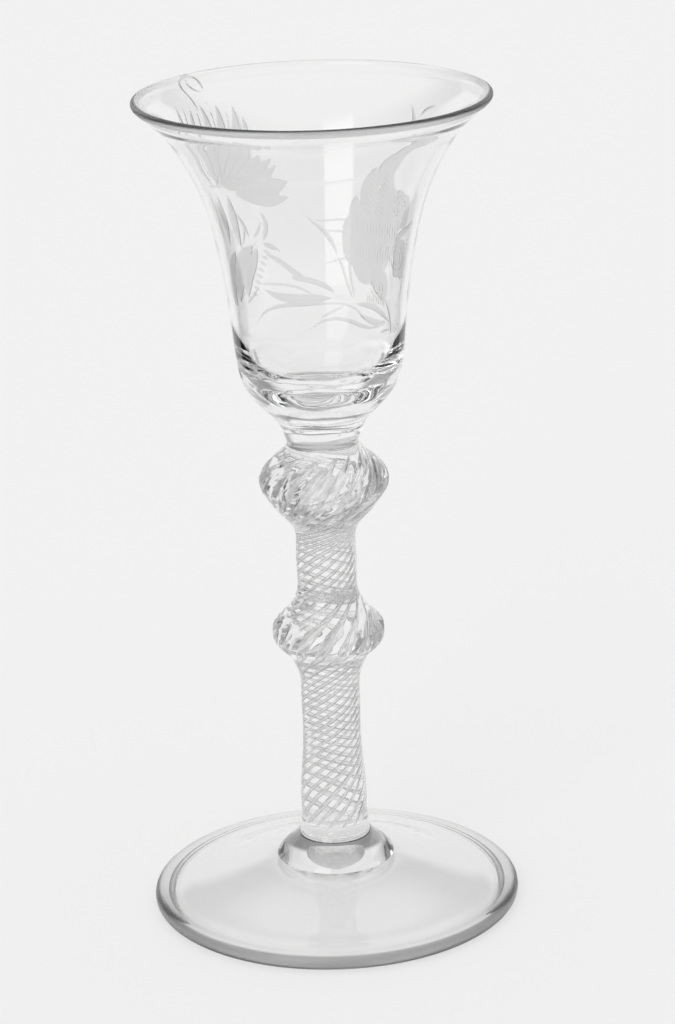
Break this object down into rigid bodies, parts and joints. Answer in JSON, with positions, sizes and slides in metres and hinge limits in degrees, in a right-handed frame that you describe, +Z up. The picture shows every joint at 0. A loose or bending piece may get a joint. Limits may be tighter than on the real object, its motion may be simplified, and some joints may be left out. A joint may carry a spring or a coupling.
{
  "type": "air-twist wine glass",
  "caption": "Stemmed drinking glass: waisted bell bowl with a solid base, knopped stem with spiral air threads, wide conical foot.",
  "frame": {"origin": "centre of the circle that the glass stands on, on the table's surface", "axes": "+Z up along the stem, from the foot to the rim"},
  "size_m": [0.076, 0.076, 0.17],
  "materials": {
    "bowl_glass": "clear colourless lead glass, fire-polished, wheel-engraved outside",
    "casing_glass": "clear colourless lead glass, fire-polished",
    "core_glass": "clear colourless lead glass with twisted grooves that hold air",
    "foot_glass": "clear colourless lead glass, smooth, faintly scratched on its ring",
    "pontil_glass": "clear colourless lead glass, broken and rough"
  },
  "bodies": {
    "root": {"bowl": "bowl_glass", "stem_casing": "casing_glass", "stem_core": "core_glass", "foot": "foot_glass", "pontil_scar": "pontil_glass"}
  },
  "joints": []
}
